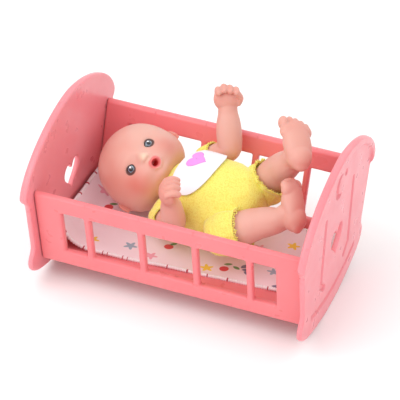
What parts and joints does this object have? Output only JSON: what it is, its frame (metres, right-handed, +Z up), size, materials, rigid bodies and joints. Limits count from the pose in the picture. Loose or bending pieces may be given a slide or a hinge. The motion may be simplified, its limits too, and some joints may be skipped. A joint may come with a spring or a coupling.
{
  "type": "baby doll in rocking cradle",
  "caption": "Jointed vinyl baby doll in a knit romper and bib, lying on a printed quilt in a moulded rocking cradle with barred side rails and arched end panels.",
  "frame": {"origin": "centre of the bounding box at the level of the rockers' lowest line", "axes": "+X from the headboard to the footboard, +Y across the cradle to the doll's left, +Z up"},
  "size_m": [0.1478, 0.1152, 0.0938],
  "materials": {
    "cradle_plastic": "satin moulded plastic",
    "rail_plastic": "satin moulded plastic",
    "tray_plastic": "satin moulded plastic",
    "quilt_cloth": "thin printed woven cloth",
    "body_plastic": "moulded shell, skin tone",
    "skin_vinyl": "soft matte vinyl",
    "eye_paint": "glossy painted plastic",
    "romper_terry": "terry knit",
    "rib_knit": "elastic rib knit",
    "bib_cloth": "white woven cotton",
    "heart_cloth": "printed cloth",
    "tape_cloth": "woven tape"
  },
  "bodies": {
    "cradle": {"headboard": "cradle_plastic", "footboard": "cradle_plastic", "side_rail_front": "rail_plastic", "side_rail_back": "rail_plastic", "tray_floor": "tray_plastic", "quilt": "quilt_cloth"},
    "doll": {"torso_shell": "body_plastic", "neck_plug": "body_plastic", "romper": "romper_terry", "romper_neck_band": "rib_knit", "bib": "bib_cloth", "bib_heart": "heart_cloth", "back_closure": "tape_cloth"},
    "head": {"head_shell": "skin_vinyl", "eye_left": "eye_paint", "eye_right": "eye_paint"},
    "arm_left": {"arm_left": "skin_vinyl", "sleeve_hem_left": "rib_knit"},
    "arm_right": {"arm_right": "skin_vinyl", "sleeve_hem_right": "rib_knit"},
    "leg_left": {"leg_left": "skin_vinyl", "leg_hem_left": "rib_knit"},
    "leg_right": {"leg_right": "skin_vinyl", "leg_hem_right": "rib_knit"}
  },
  "joints": [
    {"name": "doll_lift", "type": "slide", "parent": "cradle", "child": "doll", "axis": [0, 0, 1], "range_m": [0, 0.1]},
    {"name": "head_turn", "type": "hinge", "parent": "doll", "child": "head", "pos_m": [-0.0378, 0.0175, 0.0427], "axis": [-0.962, 0.147, 0.23], "range_deg": [-50, 50]},
    {"name": "shoulder_left", "type": "hinge", "parent": "doll", "child": "arm_left", "pos_m": [-0.00798, 0.03269, 0.04679], "axis": [-0.1468, 0.9455, 0.2906], "range_deg": [-70, 20]},
    {"name": "shoulder_right", "type": "hinge", "parent": "doll", "child": "arm_right", "pos_m": [-0.01662, -0.00795, 0.03329], "axis": [-0.5186, -0.8041, -0.2906], "range_deg": [-50, 60]},
    {"name": "hip_left", "type": "hinge", "parent": "doll", "child": "leg_left", "pos_m": [0.02868, 0.01932, 0.0509], "axis": [0.7451, 0.6195, 0.2472], "range_deg": [-40, 5]},
    {"name": "hip_right", "type": "hinge", "parent": "doll", "child": "leg_right", "pos_m": [0.02159, -0.01402, 0.03983], "axis": [0.4287, -0.869, -0.2472], "range_deg": [-40, 50]}
  ]
}
